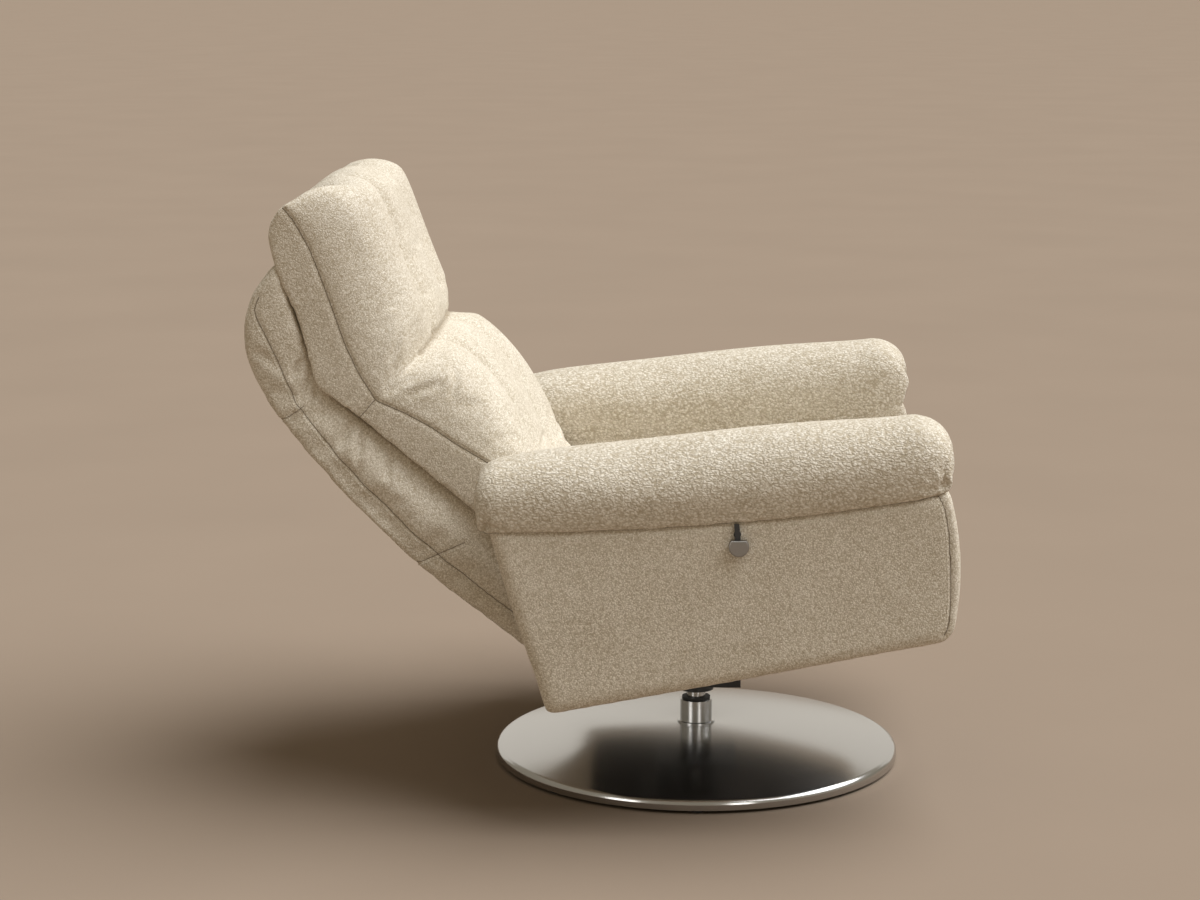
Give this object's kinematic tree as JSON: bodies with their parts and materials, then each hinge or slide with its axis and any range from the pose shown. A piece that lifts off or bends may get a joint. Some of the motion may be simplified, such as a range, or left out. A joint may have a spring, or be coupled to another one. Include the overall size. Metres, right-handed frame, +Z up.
{
  "type": "swivel recliner",
  "caption": "Upholstered swivel recliner on a domed steel floor disc, with tilting body, reclining back, folding headrest and a release lever.",
  "frame": {"origin": "on the floor under the axis of the swivel column", "axes": "+Z up, the chair faces -Y, +X is the sitter's left; the release lever is on the -X side"},
  "size_m": [0.8826, 0.9722, 0.8836],
  "materials": {
    "upholstery": "matte",
    "lining": "matte",
    "stainless": "satin",
    "black_steel": "satin",
    "bright_steel": "satin",
    "wood": "matte",
    "black_plastic": "matte",
    "glide_rubber": "matte",
    "knob_metal": "satin"
  },
  "bodies": {
    "base": {"base_cover": "stainless", "base_plate": "black_steel", "base_glides": "glide_rubber", "column_tube": "stainless", "swivel_bush": "black_plastic", "bearing_race": "bright_steel", "bearing_balls": "bright_steel"},
    "swivel": {"spindle": "stainless", "spindle_screw": "bright_steel", "tilt_housing": "black_steel", "tilt_pin": "bright_steel"},
    "seat": {"tilt_cradle": "black_steel", "tilt_bushes": "black_plastic", "seat_beams": "black_steel", "seat_rail_right": "wood", "seat_rail_left": "wood", "front_rail": "wood", "rear_rail": "wood", "spring_bar": "black_steel", "seat_springs": "bright_steel", "seat_cushion": "upholstery", "front_panel": "upholstery", "underside_cover": "lining", "arm_frame_right": "wood", "arm_frame_left": "wood", "arm_cover_right": "upholstery", "arm_cover_left": "upholstery", "arm_pad_right": "upholstery", "arm_pad_left": "upholstery", "arm_bolts": "bright_steel", "hinge_bracket_right": "black_steel", "hinge_bracket_left": "black_steel", "hinge_bushes": "black_plastic", "gas_anchor": "black_steel", "anchor_bolt": "bright_steel", "lever_bracket": "black_steel", "lever_bush": "black_plastic", "release_cable": "black_plastic"},
    "lever": {"lever_shaft": "black_steel", "lever_stem": "black_steel", "lever_knob": "knob_metal"},
    "gas_body": {"gas_cylinder": "black_steel"},
    "gas_piston": {"gas_rod": "bright_steel"},
    "backrest": {"recline_shaft": "bright_steel", "hinge_arm_right": "black_steel", "hinge_arm_left": "black_steel", "gas_crank": "black_steel", "crank_bolt": "bright_steel", "back_upright_right": "black_steel", "back_upright_left": "black_steel", "back_cross_tubes": "black_steel", "back_webbing": "lining", "back_shell": "upholstery", "lumbar_cushion": "upholstery", "ratchet_plates": "black_steel"},
    "headrest": {"head_arm_right": "black_steel", "head_arm_left": "black_steel", "head_cross_tubes": "black_steel", "head_shell": "upholstery", "head_cushion": "upholstery"}
  },
  "joints": [
    {"name": "swivel_turn", "type": "hinge", "parent": "base", "child": "swivel", "pos_m": [0, 0, 0], "axis": [0, 0, 1], "continuous": true},
    {"name": "seat_tilt", "type": "hinge", "parent": "swivel", "child": "seat", "pos_m": [0, 0, 0.15], "axis": [1, 0, 0], "range_deg": [0, 10]},
    {"name": "back_recline", "type": "hinge", "parent": "seat", "child": "backrest", "pos_m": [0, 0.13, 0.33], "axis": [1, 0, 0], "range_deg": [0, 30]},
    {"name": "headrest_tilt", "type": "hinge", "parent": "backrest", "child": "headrest", "pos_m": [0, 0.55316, 0.5468], "axis": [1, 0, 0], "range_deg": [-30, 0]},
    {"name": "release_lever", "type": "hinge", "parent": "seat", "child": "lever", "pos_m": [-0.425, -0.0485, 0.4281], "axis": [-1, 0, 0], "range_deg": [0, 22], "stiffness_Nm_per_rad": 0.6, "springref_deg": -11.46},
    {"name": "gas_swing", "type": "hinge", "parent": "seat", "child": "gas_body", "pos_m": [0, -0.08605, 0.28819], "axis": [1, 0, 0], "range_deg": [-1, 6]},
    {"name": "gas_stroke", "type": "slide", "parent": "gas_body", "child": "gas_piston", "axis": [0, 0.9829, -0.184], "range_m": [-0.001, 0.042]}
  ],
  "couplings": [
    {"joint": "gas_swing", "follows": "back_recline", "ratio": 0.147},
    {"joint": "gas_stroke", "follows": "back_recline", "m_per_rad": 0.0735}
  ]
}
